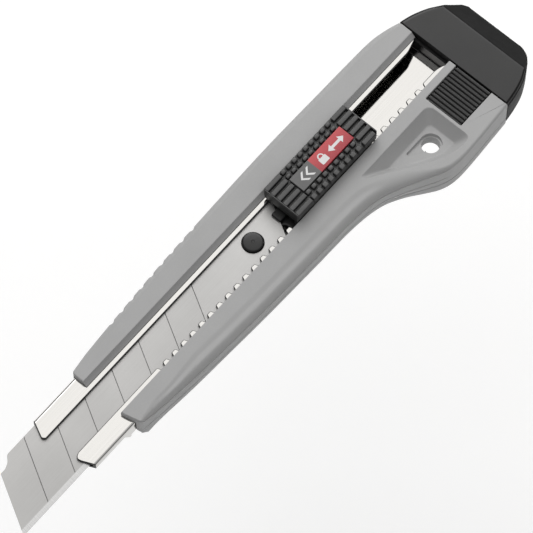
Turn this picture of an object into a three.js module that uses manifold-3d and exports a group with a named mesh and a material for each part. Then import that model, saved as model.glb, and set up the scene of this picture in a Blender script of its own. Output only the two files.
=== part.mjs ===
// Snap-off utility knife with an 18 mm blade, a steel rail and a sliding lock button.
// Millimetres. The knife lies on its flat back: +Z is up, out of the front face, +X runs from the
// blade towards the end cap, and +Y towards the blade's blunt spine. The origin is on the back face,
// below the rail's centre line.

import * as THREE from 'three';
import { ConvexGeometry } from 'three/addons/geometries/ConvexGeometry.js';
import { mergeVertices } from 'three/addons/utils/BufferGeometryUtils.js';
import Module from 'manifold-3d';

const wasm = await Module();
wasm.setup();

// ---- driving dimensions ------------------------------------------------------------------------

const noseX = -56.2;             // front end of the handle
const rearX = 76;                // rear end of the handle
const endX = 93.3;               // rear end of the cap
const splitZ = 5;                // joint between the back cover and the front frame
const faceZ = 13.2;              // front face of the handle
const coverWall = 1.6;           // side wall of the back cover
const gap = 0.3;                 // clearance between neighbouring pieces

const bladeWidth = 18;
const bladeThick = 0.5;
const bladeFrontZ = 10.5;
const bladeEdgeY = -8.7;         // the cutting edge
const bladeTipX = -96.8;
const bladeTailX = 8;
const bladeLean = 61;            // degrees between the cutting edge and the score lines
const bevelWidth = 1.4;          // ground strip along the cutting edge
const scoreCount = 7;
const scorePitch = 10.45;
const scoreDepth = 0.15;

const railFrontX = -74.3;
const railRearX = 75.3;
const railHalfWidth = 10.15;
const railBackZ = 5.3;
const noseFloorZ = 8.8;          // back of the rail's shallow nose
const lipTopZ = 11.4;
const sheet = 0.7;
const lipEdge = 4.4;             // half the gap between the two lips
const toothPitch = 3.5;
const toothDepth = 1.1;
const firstGullet = -39.25;
const gulletCount = 31;

const pegX = 2.8;
const pegRadius = 2.8;
const carriageTopZ = 9.7;

const buttonFront = 14;
const buttonRear = 46.4;
const buttonHalfWidth = 6.1;
const buttonTopZ = 17;
const ribPitch = 2.1;
const bumpPitch = 2.25;
const rivetX = [20, 41];

const screwX = [-30, 10, 69];
const holeX = 55.2;              // hanging hole
const holeY = -17;
const holeRadius = 2.5;
const recessFloorZ = 9.7;
const webThick = 4.7;            // plastic left between the front and back recesses

// ---- helpers -----------------------------------------------------------------------------------

const group = new THREE.Group();

function solidOf(geometry) {
  const bare = geometry.index ? geometry.toNonIndexed() : geometry.clone();
  bare.deleteAttribute('normal');
  bare.deleteAttribute('uv');
  const merged = mergeVertices(bare, 1e-4);
  return new wasm.Manifold(new wasm.Mesh({
    numProp: 3,
    vertProperties: new Float32Array(merged.attributes.position.array),
    triVerts: new Uint32Array(merged.index.array),
  }));
}

function geometryOf(solid) {
  const mesh = solid.getMesh();
  const geometry = new THREE.BufferGeometry();
  geometry.setAttribute('position', new THREE.BufferAttribute(mesh.vertProperties, 3));
  geometry.setIndex(new THREE.BufferAttribute(mesh.triVerts, 1));
  geometry.computeVertexNormals();
  return geometry;
}

function addPiece(name, solid, look) {
  const material = new THREE.MeshStandardMaterial(look);
  const mesh = new THREE.Mesh(geometryOf(solid), material);
  mesh.name = name;
  group.add(mesh);
}

function outline(points) {
  return new THREE.Shape(points.map(([x, y]) => new THREE.Vector2(x, y)));
}

// A flat outline in X and Y, raised from z0 to z1.
function slab(shape, z0, z1) {
  const options = { depth: z1 - z0, bevelEnabled: false, curveSegments: 3 };
  return solidOf(new THREE.ExtrudeGeometry(shape, options).translate(0, 0, z0));
}

// The same, drawn in by `inset` all round, with its outer edges rounded off at both ends by `size`
// sideways and `height` in Z.
function roundedSlab(shape, z0, z1, size, height, inset = 0) {
  const geometry = new THREE.ExtrudeGeometry(shape, {
    depth: z1 - z0 - 2 * height,
    bevelSize: size,
    bevelOffset: -size - inset,
    bevelThickness: height,
    bevelSegments: 3,
    curveSegments: 3,
  });
  return solidOf(geometry.translate(0, 0, z0 + height));
}

// A section drawn in Y and Z, drawn out along X from x0 to x1.
function alongX(section, x0, x1) {
  const options = { depth: x1 - x0, bevelEnabled: false, curveSegments: 4 };
  const geometry = new THREE.ExtrudeGeometry(section, options);
  geometry.rotateX(Math.PI / 2).rotateZ(Math.PI / 2);
  return solidOf(geometry.translate(x0, 0, 0));
}

// A section drawn in X and Z, drawn out along Y from y0 to y1.
function alongY(section, y0, y1) {
  const options = { depth: y1 - y0, bevelEnabled: false, curveSegments: 8 };
  const geometry = new THREE.ExtrudeGeometry(section, options);
  return solidOf(geometry.rotateX(Math.PI / 2).translate(0, y1, 0));
}

function box(x0, x1, y0, y1, z0, z1) {
  const geometry = new THREE.BoxGeometry(x1 - x0, y1 - y0, z1 - z0);
  return solidOf(geometry.translate((x0 + x1) / 2, (y0 + y1) / 2, (z0 + z1) / 2));
}

function rod(x, y, radius, z0, z1, sides = 24) {
  const geometry = new THREE.CylinderGeometry(radius, radius, z1 - z0, sides);
  return solidOf(geometry.rotateX(Math.PI / 2).translate(x, y, (z0 + z1) / 2));
}

// A turned piece standing along Z: profile points are [radius, z].
function turned(x, y, profile, sides = 24) {
  const points = profile.map(([radius, z]) => new THREE.Vector2(radius, z));
  const geometry = new THREE.LatheGeometry(points, sides);
  return solidOf(geometry.rotateX(Math.PI / 2).translate(x, y, 0));
}

function roundedRectangle(x0, x1, y0, y1, r) {
  const shape = new THREE.Shape();
  shape.moveTo(x0 + r, y0);
  shape.lineTo(x1 - r, y0);
  shape.absarc(x1 - r, y0 + r, r, -Math.PI / 2, 0);
  shape.lineTo(x1, y1 - r);
  shape.absarc(x1 - r, y1 - r, r, 0, Math.PI / 2);
  shape.lineTo(x0 + r, y1);
  shape.absarc(x0 + r, y1 - r, r, Math.PI / 2, Math.PI);
  shape.lineTo(x0, y0 + r);
  shape.absarc(x0 + r, y0 + r, r, Math.PI, 1.5 * Math.PI);
  return shape;
}

// A polygon whose corners are rounded off over `reach` on either side.
function roundedPolygon(corners, reach) {
  const points = corners.map(([x, y]) => new THREE.Vector2(x, y));
  const shape = new THREE.Shape();
  points.forEach((corner, i) => {
    const before = points[(i + points.length - 1) % points.length];
    const after = points[(i + 1) % points.length];
    const entry = before.clone().sub(corner).setLength(reach).add(corner);
    const exit = after.clone().sub(corner).setLength(reach).add(corner);
    if (i === 0) {
      shape.moveTo(entry.x, entry.y);
    } else {
      shape.lineTo(entry.x, entry.y);
    }
    shape.quadraticCurveTo(corner.x, corner.y, exit.x, exit.y);
  });
  return shape;
}

function splineTo(shape, points) {
  shape.splineThru(points.map(([x, y]) => new THREE.Vector2(x, y)));
}

// A strip of constant thickness that follows a line of points.
function strip(points, thickness) {
  const line = points.map(([x, y]) => new THREE.Vector2(x, y));
  const side = (sign) => line.map((point, i) => {
    const before = line[Math.max(i - 1, 0)];
    const after = line[Math.min(i + 1, line.length - 1)];
    const along = after.clone().sub(before).normalize();
    const half = sign * thickness / 2;
    return new THREE.Vector2(point.x - along.y * half, point.y + along.x * half);
  });
  return new THREE.Shape([...side(-1), ...side(1).reverse()]);
}

// ---- looks -------------------------------------------------------------------------------------

const greyShell = { color: 0xb2b2b3, roughness: 0.55, metalness: 0 };
const blackPlastic = { color: 0x2a2a2c, roughness: 0.5, metalness: 0 };
const mirrorSteel = { color: 0xdedcd6, roughness: 0.15, metalness: 1 };
const groundSteel = { color: 0xb8b7b5, roughness: 0.35, metalness: 1 };
const springSteel = { color: 0x8f9296, roughness: 0.3, metalness: 1 };
const printedLabel = { color: 0xc2383f, roughness: 0.4, metalness: 0 };

// ---- handle ------------------------------------------------------------------------------------

// Outline of the whole handle: straight upper edge, lower edge with the hanging lobe at the rear.
// It runs on past the rear end, where the handle is cut off square.
function handleOutline() {
  const past = rearX + 8;
  const shape = new THREE.Shape();
  shape.moveTo(noseX, -6.9);
  shape.lineTo(-54.9, -12);
  shape.lineTo(-50, -12.55);
  splineTo(shape, [[-42, -13.3], [-30, -14.2], [-10, -15.2], [10, -15.8], [25, -16.2], [34, -17.5],
    [40, -20], [45, -22.7], [50, -25.4], [54, -26.6], [60, -26.8], [rearX, -26]]);
  shape.lineTo(past, -25);
  shape.lineTo(past, 8);
  shape.lineTo(rearX, 11.6);
  splineTo(shape, [[72, 12.9], [67, 13.9], [60, 14.2], [45, 14.45], [25, 14.7], [0, 14.3],
    [-20, 13.65], [-40, 12.4], [-50, 11.7]]);
  shape.lineTo(noseX, 10.9);
  return shape;
}

// A sunk triangle in the lobe, with sloping walls from its rim down to a smaller floor.
function recessCutter(rimZ, floorZ) {
  const rimCorners = [[33.6, -10], [62.4, -10], [62.4, -24.7], [55.5, -24.1], [47, -19.6]];
  const floorCorners = [[41.8, -12.9], [59.6, -12.9], [59.6, -21.7], [55.2, -21.2], [50, -18.4]];
  const rim = roundedPolygon(rimCorners, 2.4);
  const floor = roundedPolygon(floorCorners, 1.2);
  const rimPoints = rim.getPoints(4).map((point) => new THREE.Vector3(point.x, point.y, rimZ));
  const floorPoints = floor.getPoints(3).map((point) => new THREE.Vector3(point.x, point.y, floorZ));
  return solidOf(new ConvexGeometry([...rimPoints, ...floorPoints]));
}

// The same triangle is sunk in the back, so that only a thin web is left round the hanging hole.
function backRecessCutter() {
  return recessCutter(-0.1, recessFloorZ - webThick);
}

function frontFrame() {
  const wide = roundedSlab(handleOutline(), splitZ - 5, faceZ, 1.3, 1.5);
  let frame = wide.intersect(box(-60, rearX, -30, 20, splitZ, 20));
  const channel = railHalfWidth + 0.2;
  frame = frame.subtract(box(-60, 80, -channel, channel, splitZ - 1, lipTopZ + 0.2));
  const windowSection = outline([[-6, 11], [5.7, 11], [5.7, 11.6], [7.3, 13.4], [-6, 13.4]]);
  frame = frame.subtract(alongX(windowSection, -60, 80));
  frame = frame.subtract(recessCutter(faceZ + 0.1, recessFloorZ)).subtract(backRecessCutter());
  frame = frame.subtract(box(63.3, 80, -20.5, -8.3, 9.4, 14));
  for (let i = 0; i < 9; i += 1) {
    frame = frame.subtract(rod(-38.5 + 4.2 * i, 15.2 + 0.13 * i, 2.4, 0, 20, 20));
  }
  for (const x of screwX) {
    frame = frame.add(box(x - 4.5, x + 4.5, -11.2, 10.65, 3.7, splitZ + 0.15));
    frame = frame.add(rod(x, 0, 2.8, 2.1, splitZ));
    frame = frame.subtract(rod(x, 0, 0.95, 1.5, 4.7, 16));
  }
  return frame.subtract(rod(holeX, holeY, holeRadius, 0, 20));
}

function backCover() {
  const wide = roundedSlab(handleOutline(), 0, 2 * splitZ, 2.4, 3.2);
  const shallow = wide.intersect(box(-60, rearX, -30, 20, -1, splitZ - 0.15));
  const inside = roundedSlab(handleOutline(), 1.8, 12, 1.4, 2, coverWall);
  const solidLobe = box(32, 64.2, -30, -8.4, 0, 20);
  const hollow = inside.intersect(box(-60, rearX - 1.6, -30, 20, 0, 20)).subtract(solidLobe);
  let cover = shallow.subtract(hollow).subtract(backRecessCutter());
  for (const x of screwX) {
    cover = cover.subtract(turned(x, 0, [[0, -1], [2.3, -1], [2.3, 0.4], [1.15, 1.5], [1.15, 3], [0, 3]]));
  }
  return cover;
}

function coverScrew(x) {
  const screw = turned(x, 0, [[0, 0.2], [2, 0.2], [2, 0.35], [0.8, 1.45], [0.8, 4.2],
    [0.4, 4.6], [0, 4.6]]);
  const slotA = box(x - 1.2, x + 1.2, -0.2, 0.2, -1, 0.7);
  const slotB = box(x - 0.2, x + 0.2, -1.2, 1.2, -1, 0.7);
  return screw.subtract(slotA).subtract(slotB);
}

// ---- rail and blade ----------------------------------------------------------------------------

function railSection() {
  const wall = railHalfWidth;
  const bend = 1;
  const shape = new THREE.Shape();
  shape.moveTo(lipEdge, lipTopZ);
  shape.lineTo(wall - bend, lipTopZ);
  shape.absarc(wall - bend, lipTopZ - bend, bend, Math.PI / 2, 0, true);
  shape.lineTo(wall, railBackZ + bend);
  shape.absarc(wall - bend, railBackZ + bend, bend, 0, -Math.PI / 2, true);
  shape.lineTo(-wall + bend, railBackZ);
  shape.absarc(-wall + bend, railBackZ + bend, bend, -Math.PI / 2, -Math.PI, true);
  shape.lineTo(-wall, lipTopZ - bend);
  shape.absarc(-wall + bend, lipTopZ - bend, bend, Math.PI, Math.PI / 2, true);
  shape.lineTo(-lipEdge, lipTopZ);
  shape.lineTo(-lipEdge, lipTopZ - sheet);
  shape.lineTo(-wall + sheet, lipTopZ - sheet);
  shape.lineTo(-wall + sheet, railBackZ + sheet);
  shape.lineTo(wall - sheet, railBackZ + sheet);
  shape.lineTo(wall - sheet, lipTopZ - sheet);
  shape.lineTo(lipEdge, lipTopZ - sheet);
  return shape;
}

// Seen from the front: slanted noses, and lips that open out at the rear. Only the lips are cut back
// there; the floor of the rail runs on to its rear end.
function railOutline() {
  const wall = railHalfWidth;
  const shape = new THREE.Shape();
  shape.moveTo(-71.8, wall);
  shape.lineTo(railFrontX, 5.4);
  shape.lineTo(railFrontX + 0.6, lipEdge);
  shape.lineTo(-71, lipEdge);
  shape.lineTo(-71, -lipEdge);
  splineTo(shape, [[-72.1, -4.9], [-72.6, -5.8]]);
  shape.lineTo(-70.5, -wall);
  shape.lineTo(railRearX, -wall);
  shape.lineTo(railRearX, -5.6);
  splineTo(shape, [[73.6, -4.8], [71.5, -lipEdge]]);
  shape.lineTo(71.5, lipEdge);
  shape.lineTo(railRearX, 5.3);
  shape.lineTo(railRearX, wall);
  return shape;
}

function bladeRail() {
  // Ahead of the handle the channel is shallow, and its floor steps up behind the blade.
  const floorStep = outline([[-80, noseFloorZ], [-59.5, noseFloorZ], [-57.6, railBackZ], [-56.9, railBackZ],
    [-58.8, noseFloorZ + sheet], [-80, noseFloorZ + sheet]]);
  const below = outline([[-80, 0], [-57.6, 0], [-57.6, railBackZ], [-59.5, noseFloorZ], [-80, noseFloorZ]]);
  const channel = alongX(railSection(), railFrontX - 1, railRearX + 1);
  let rail = channel.subtract(alongY(below, -12, 12)).add(alongY(floorStep, -railHalfWidth, railHalfWidth));
  rail = rail.intersect(slab(railOutline(), 0, 20));
  rail = rail.add(box(71, railRearX, -6, 6, railBackZ, railBackZ + sheet));
  for (let i = 0; i < gulletCount; i += 1) {
    const x = firstGullet + toothPitch * i;
    const gullet = outline([[x - 1.25, -lipEdge + 0.1], [x - 0.65, -lipEdge - toothDepth],
      [x + 0.65, -lipEdge - toothDepth], [x + 1.25, -lipEdge + 0.1]]);
    rail = rail.subtract(slab(gullet, bladeFrontZ - 0.1, 12));
  }
  return rail;
}

function blade() {
  const spineY = bladeEdgeY + bladeWidth;
  const lean = 1 / Math.tan(THREE.MathUtils.degToRad(bladeLean));
  const backZ = bladeFrontZ - bladeThick;
  const section = outline([[bladeEdgeY, (backZ + bladeFrontZ) / 2], [bladeEdgeY + bevelWidth, backZ],
    [spineY, backZ], [spineY, bladeFrontZ], [bladeEdgeY + bevelWidth, bladeFrontZ]]);
  const notchX = bladeTipX + (bladeWidth - 2.3) * lean;
  const shape = new THREE.Shape();
  shape.moveTo(bladeTipX, bladeEdgeY);
  shape.lineTo(bladeTailX, bladeEdgeY);
  shape.lineTo(bladeTailX + bladeWidth * lean, spineY);
  shape.lineTo(notchX + 4.8, spineY);
  splineTo(shape, [[notchX + 3.4, spineY - 1.5], [notchX + 1.7, spineY - 2.3]]);
  shape.lineTo(notchX, spineY - 2.3);
  let plate = alongX(section, bladeTipX - 1, bladeTailX + 20).intersect(slab(shape, 9, 12));
  const groove = 0.14;
  for (let i = 1; i <= scoreCount; i += 1) {
    const foot = bladeTipX + scorePitch * i + 0.45;
    const top = foot + (bladeWidth - bevelWidth) * lean;
    const footY = bladeEdgeY + bevelWidth;
    const score = outline([[foot - groove, footY], [foot + groove, footY],
      [top + groove, spineY + 0.1], [top - groove, spineY + 0.1]]);
    plate = plate.subtract(slab(score, bladeFrontZ - scoreDepth, 12));
  }
  return plate.subtract(rod(pegX, 0, pegRadius + 0.2, 9, 12));
}

// ---- slider ------------------------------------------------------------------------------------

function bladeCarriage() {
  const floor = railBackZ + sheet + 0.25;
  const tongue = slab(roundedRectangle(-8, 15, -2.6, 8, 1.6), floor, carriageTopZ);
  const block = slab(roundedRectangle(12.5, 45.5, -7.8, 8, 1.6), floor, carriageTopZ).add(tongue);
  const neck = slab(roundedRectangle(16.5, 45, -4, 4, 0.6), carriageTopZ - 0.2, lipTopZ + 0.1);
  const nose = slab(roundedRectangle(11.7, 17.5, -1.8, 1.5, 0.5), carriageTopZ + 1.1, lipTopZ + 0.1);
  let carriage = block.add(neck).add(nose);
  carriage = carriage.subtract(box(19.5, 36, -5, -2.2, bladeFrontZ - 0.2, 12));
  carriage = carriage.subtract(box(10, 36, 1.8, 6.2, floor - 1, 7.9));
  carriage = carriage.subtract(rod(pegX, 0, 1.6, 7, 12, 20));
  for (const x of rivetX) {
    carriage = carriage.subtract(rod(x, 0, 1.3, 8.4, 12, 16));
  }
  return carriage;
}

function bladePeg() {
  const low = bladeFrontZ - bladeThick - 0.1;
  return turned(pegX, 0, [[0, 7.3], [1.5, 7.3], [1.5, low], [pegRadius, low], [pegRadius, 11],
    [pegRadius - 0.4, 11.35], [1.4, 11.5], [0, 11.55]], 28);
}

// A bowed leaf that presses the carriage and blade up against the lips.
function rattleSpring() {
  const low = railBackZ + sheet + 0.2;
  const bow = strip([[11, 7.5], [15, 7.1], [19, low + 0.35], [23, low + 0.2], [27, low + 0.35],
    [31, 7.1], [35, 7.5]], 0.3);
  return alongY(bow, 2.2, 5.8);
}

// A leaf on edge, whose bent middle sits in a gullet of the toothed lip.
function lockSpring() {
  const x = firstGullet + 19 * toothPitch;
  const leaf = strip([[x - 6.5, -2.9], [x - 1.7, -3.6], [x - 0.35, -5.1], [x + 0.35, -5.1],
    [x + 1.7, -3.6], [x + 6.5, -2.9]], 0.3);
  return slab(leaf, bladeFrontZ + 0.2, lipTopZ + 0.05);
}

function sliderBase() {
  let plate = slab(roundedRectangle(16, 44.6, -4.6, 4.6, 0.8), lipTopZ + 0.3, 12.4);
  for (const x of rivetX) {
    plate = plate.subtract(rod(x, 0, 1.3, 11, 13, 16));
  }
  return plate;
}

function sliderRivet(x) {
  return turned(x, 0, [[0, 8.7], [1.2, 8.7], [1.2, 12.45], [2, 12.45], [1.8, 12.9], [0, 13.1]], 20);
}

function buttonSpring() {
  const bow = strip([[24, 12.65], [27, 13], [29, 14.6], [30.5, 15], [32, 14.6], [34, 13],
    [37, 12.65]], 0.3);
  return alongY(bow, -2, 2);
}

// The thumb button: a hollow cap with ribbed ends and a field of square bumps round its label.
function thumbSlider() {
  const low = 12.6;
  const wide = buttonHalfWidth;
  const deck = buttonTopZ - 0.7;
  const section = outline([[-5.75, low], [5.6, low], [5.6, 13.7], [wide, 14.1], [wide, deck - 0.5],
    [wide - 0.5, deck], [-wide + 0.5, deck], [-wide, deck - 0.5], [-wide, 14.1], [-5.75, 13.7]]);
  let button = alongX(section, buttonFront, buttonRear);
  button = button.intersect(slab(roundedRectangle(buttonFront, buttonRear, -wide, wide, 0.8), 0, 20));
  button = button.subtract(box(buttonFront + 1.3, buttonRear - 1.2, -4.9, 4.9, 11, 15.5));
  for (const [x0, x1] of [[buttonFront + 0.2, 19.9], [41.1, buttonRear - 0.2]]) {
    for (let i = 0; i < 6; i += 1) {
      const y = -wide + 0.85 + ribPitch * i;
      button = button.add(box(x0, x1, y - 0.65, y + 0.65, deck - 0.2, buttonTopZ));
    }
  }
  for (let i = 0; i < 9; i += 1) {
    const x = 21.2 + bumpPitch * i;
    for (const y of [-5.1, -3.35, 3.6, 5.3]) {
      button = button.add(box(x - 0.75, x + 0.75, y - 0.6, y + 0.6, deck - 0.2, buttonTopZ));
    }
  }
  return button;
}

function sliderLabel() {
  return slab(roundedRectangle(20.5, 40.8, -2.4, 2.7, 0.5), buttonTopZ - 0.7, buttonTopZ + 0.1);
}

// ---- end cap -----------------------------------------------------------------------------------

function capOutline() {
  const shape = new THREE.Shape();
  shape.moveTo(rearX - 6, -26.4);
  shape.lineTo(rearX, -26);
  splineTo(shape, [[80, -25.5], [84, -24.6], [87, -23.3], [89.6, -21.8]]);
  shape.lineTo(92, -19.8);
  shape.lineTo(endX, -17);
  shape.lineTo(endX, 1.4);
  shape.lineTo(92.3, 3);
  splineTo(shape, [[89.2, 4.9], [86.4, 7], [83.9, 8.7], [80, 10.5], [rearX, 11.6]]);
  shape.lineTo(rearX - 6, 13);
  return shape;
}

function endCap() {
  const x0 = rearX + gap;
  let cap = roundedSlab(capOutline(), 0, faceZ, 1.3, 1.5);
  const chamfer = outline([[87.6, faceZ + 0.1], [endX + 0.1, 8.8], [endX + 0.1, 15], [87.6, 15]]);
  cap = cap.subtract(alongY(chamfer, -40, 30));
  cap = cap.intersect(box(x0, 100, -40, 30, -1, 20));
  cap = cap.subtract(box(x0 - 1, 89, -20, 5, 2.6, 10.6));
  return cap.subtract(box(x0 - 1, 78.6, -9.6, 9.6, 6, 10.6));
}

// The plug that stops the rear end of the rail: a wide foot behind the rail, and a tail that sits
// deep in the cap.
function capPlug() {
  const floor = railBackZ + sheet + 0.3;
  const foot = box(railRearX + gap, 78.3, -9.2, 9.2, floor, 10.3);
  const tail = box(78.2, 88.7, -4.5, 4.7, floor, 10.3);
  return foot.add(tail);
}

// The ribbed thumb latch that holds the cap on. Its thin edge reaches over the rail's lip.
function capLatch() {
  const top = faceZ - 0.5;
  let latch = box(63.6, rearX, -20.2, -10.6, 11, top);
  latch = latch.add(box(63.6, rearX, -10.7, -8.6, 12.35, top));
  for (let i = 0; i < 10; i += 1) {
    const x = 64.3 + 1.23 * i;
    latch = latch.add(box(x - 0.35, x + 0.35, -20.2, -8.6, top - 0.2, faceZ + 0.1));
  }
  return latch;
}

// ---- assembly ----------------------------------------------------------------------------------

addPiece('front_frame', frontFrame(), greyShell);
addPiece('back_cover', backCover(), greyShell);
['front', 'middle', 'rear'].forEach((place, i) => {
  addPiece(`cover_screw_${place}`, coverScrew(screwX[i]), springSteel);
});
addPiece('blade_rail', bladeRail(), mirrorSteel);
addPiece('blade', blade(), groundSteel);
addPiece('blade_carriage', bladeCarriage(), blackPlastic);
addPiece('blade_peg', bladePeg(), blackPlastic);
addPiece('rattle_spring', rattleSpring(), springSteel);
addPiece('lock_spring', lockSpring(), springSteel);
addPiece('slider_base', sliderBase(), blackPlastic);
addPiece('slider_rivet_front', sliderRivet(rivetX[0]), springSteel);
addPiece('slider_rivet_rear', sliderRivet(rivetX[1]), springSteel);
addPiece('button_spring', buttonSpring(), springSteel);
addPiece('thumb_slider', thumbSlider(), blackPlastic);
addPiece('slider_label', sliderLabel(), printedLabel);
addPiece('end_cap', endCap(), blackPlastic);
addPiece('cap_plug', capPlug(), blackPlastic);
addPiece('cap_latch', capLatch(), blackPlastic);

export default group;
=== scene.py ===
"""Looks of the snap-off utility knife: every visible piece is built here in detail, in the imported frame."""
import math

import bmesh
import bpy
from mathutils import Matrix, Vector


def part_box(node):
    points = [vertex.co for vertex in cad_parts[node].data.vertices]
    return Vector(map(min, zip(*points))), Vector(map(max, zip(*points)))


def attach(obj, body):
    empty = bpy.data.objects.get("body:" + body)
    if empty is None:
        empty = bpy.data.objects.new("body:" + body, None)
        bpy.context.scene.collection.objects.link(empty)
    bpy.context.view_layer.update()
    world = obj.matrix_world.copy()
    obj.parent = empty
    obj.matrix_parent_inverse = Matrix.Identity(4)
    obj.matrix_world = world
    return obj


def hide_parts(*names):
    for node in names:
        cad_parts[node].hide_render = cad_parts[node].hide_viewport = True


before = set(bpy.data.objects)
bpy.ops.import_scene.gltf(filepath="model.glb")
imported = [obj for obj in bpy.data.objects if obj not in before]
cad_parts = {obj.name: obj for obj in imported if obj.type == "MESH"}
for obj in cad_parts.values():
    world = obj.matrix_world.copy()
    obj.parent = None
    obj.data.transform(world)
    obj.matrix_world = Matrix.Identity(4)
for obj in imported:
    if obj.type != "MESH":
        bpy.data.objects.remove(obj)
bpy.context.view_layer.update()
scene = bpy.context.scene

MM = 0.001                       # shapes are drawn in millimetres and scaled when a piece is finished


# ---- places read from the frame ------------------------------------------------------------------

def span(node):
    """Lowest and highest corners of a CAD node, in millimetres."""
    low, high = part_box(node)
    return low / MM, high / MM


frame_low, frame_high = span("front_frame")
cover_top = span("back_cover")[1].z
rail_low, rail_high = span("blade_rail")
blade_low, blade_high = span("blade")
peg_low, peg_high = span("blade_peg")
button_low, button_high = span("thumb_slider")
label_low, label_high = span("slider_label")
cap_low, cap_high = span("end_cap")
latch_low, latch_high = span("cap_latch")

NOSE_X = frame_low.x
REAR_X = frame_high.x
FACE_Z = frame_high.z
SPLIT_Z = cover_top + 0.15       # lower edge of the front frame, a fine gap above the back cover
RAIL_HALF = rail_high.y
LIP_Z = rail_high.z
LIP_EDGE = 4.4                   # half the gap between the rail's lips
SHEET = 0.7
HOLE_X, HOLE_Y, HOLE_RADIUS = 55.2, -17.0, 2.5
RECESS_Z = 9.7                   # floor of the sunk triangle
WEB = 4.7                        # plastic left round the hanging hole
SCREW_X = [(low.x + high.x) / 2 for low, high in
           (span(f"cover_screw_{place}") for place in ("front", "middle", "rear"))]


# ---- curves in the plane -------------------------------------------------------------------------

def smooth_line(points, steps):
    """Points on a Catmull-Rom curve through the given ones."""
    line = []
    last = len(points) - 1
    for i in range(last):
        a, b = points[max(i - 1, 0)], points[i]
        c, d = points[i + 1], points[min(i + 2, last)]
        for k in range(steps):
            t = k / steps
            line.append(tuple(
                0.5 * (2 * q + (r - p) * t + (2 * p - 5 * q + 4 * r - s) * t * t
                       + (3 * q - p - 3 * r + s) * t ** 3)
                for p, q, r, s in zip(a, b, c, d)))
    line.append(tuple(points[-1]))
    return line


def arc(centre, radius, start, stop, steps):
    """Points on an arc, angles in degrees."""
    angles = [math.radians(start + (stop - start) * i / steps) for i in range(steps + 1)]
    return [(centre[0] + radius * math.cos(a), centre[1] + radius * math.sin(a)) for a in angles]


def rounded_polygon(corners, reach, steps=6):
    """A polygon whose corners are rounded over reach on either side; reach is one number or a list."""
    reaches = reach if isinstance(reach, (list, tuple)) else [reach] * len(corners)
    line = []
    for i, corner in enumerate(corners):
        if reaches[i] == 0:
            line.append(tuple(corner))
            continue
        here = Vector(corner)
        entry = here + (Vector(corners[i - 1]) - here).normalized() * reaches[i]
        leave = here + (Vector(corners[(i + 1) % len(corners)]) - here).normalized() * reaches[i]
        for k in range(steps + 1):
            t = k / steps
            point = entry * (1 - t) ** 2 + here * 2 * t * (1 - t) + leave * t * t
            line.append((point.x, point.y))
    return line


def ramp(x, stops):
    """A value that eases from one (place, value) stop to the next."""
    if x <= stops[0][0]:
        return stops[0][1]
    for (x0, v0), (x1, v1) in zip(stops, stops[1:]):
        if x <= x1:
            t = (x - x0) / (x1 - x0)
            return v0 + (v1 - v0) * t * t * (3 - 2 * t)
    return stops[-1][1]


def inward_normals(points):
    """For each point of a counter-clockwise outline, the step that moves both its edges in by 1."""
    normals = []
    for i, point in enumerate(points):
        here = Vector(point)
        before = (here - Vector(points[i - 1])).normalized()
        after = (Vector(points[(i + 1) % len(points)]) - here).normalized()
        n0, n1 = Vector((-before.y, before.x)), Vector((-after.y, after.x))
        middle = (n0 + n1).normalized()
        normals.append(middle / max(middle.dot(n0), 0.4))
    return normals


# ---- solids --------------------------------------------------------------------------------------

def mesh_object(vertices, faces, name="work"):
    """A mesh with doubled points merged and all its faces turned outwards."""
    mesh = bpy.data.meshes.new(name)
    mesh.from_pydata([tuple(v) for v in vertices], [], faces)
    shape = bmesh.new()
    shape.from_mesh(mesh)
    bmesh.ops.remove_doubles(shape, verts=shape.verts, dist=1e-5)
    bmesh.ops.recalc_face_normals(shape, faces=shape.faces)
    shape.to_mesh(mesh)
    shape.free()
    obj = bpy.data.objects.new(name, mesh)
    scene.collection.objects.link(obj)
    return obj


def ring_solid(rings):
    """A closed solid through rings of points, each with the same count, capped at both ends."""
    count = len(rings[0])
    vertices = [point for ring in rings for point in ring]
    faces = [tuple(range(count)), tuple(range(len(vertices) - count, len(vertices)))]
    for r in range(len(rings) - 1):
        for i in range(count):
            a, b = r * count + i, r * count + (i + 1) % count
            faces.append((a, b, b + count, a + count))
    return mesh_object(vertices, faces)


def prism(outline, z0, z1):
    """An outline seen from the front, drawn up along Z."""
    return ring_solid([[(x, y, z) for x, y in outline] for z in (z0, z1)])


def along_x(section, x0, x1):
    """A section of (y, z) points, drawn along X."""
    return ring_solid([[(x, y, z) for y, z in section] for x in (x0, x1)])


def along_y(section, y0, y1):
    """A section of (x, z) points, drawn along Y."""
    return ring_solid([[(x, y, z) for x, z in section] for y in (y0, y1)])


def block(x0, x1, y0, y1, z0, z1):
    """A plain box between two values on each axis."""
    return prism([(x0, y0), (x1, y0), (x1, y1), (x0, y1)], z0, z1)


def lathe(x, y, profile, sides=48):
    """A turned solid standing along Z; profile points are (radius, z), from bottom to top."""
    angles = [2 * math.pi * i / sides for i in range(sides)]
    return ring_solid([[(x + radius * math.cos(a), y + radius * math.sin(a), z) for a in angles]
                       for radius, z in profile])


def layered(outline, layers):
    """A solid over an outline: layers gives, for each level, a rule (point) -> (inset, z)."""
    normals = inward_normals(outline)
    rings = []
    for layer in layers:
        ring = []
        for point, normal in zip(outline, normals):
            inset, z = layer(point)
            ring.append((point[0] + normal.x * inset, point[1] + normal.y * inset, z))
        rings.append(ring)
    return ring_solid(rings)


def bake_modifiers(obj):
    """Replaces the mesh by what its modifiers make of it."""
    graph = bpy.context.evaluated_depsgraph_get()
    mesh = bpy.data.meshes.new_from_object(obj.evaluated_get(graph))
    old = obj.data
    obj.modifiers.clear()
    obj.data = mesh
    bpy.data.meshes.remove(old)


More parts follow.
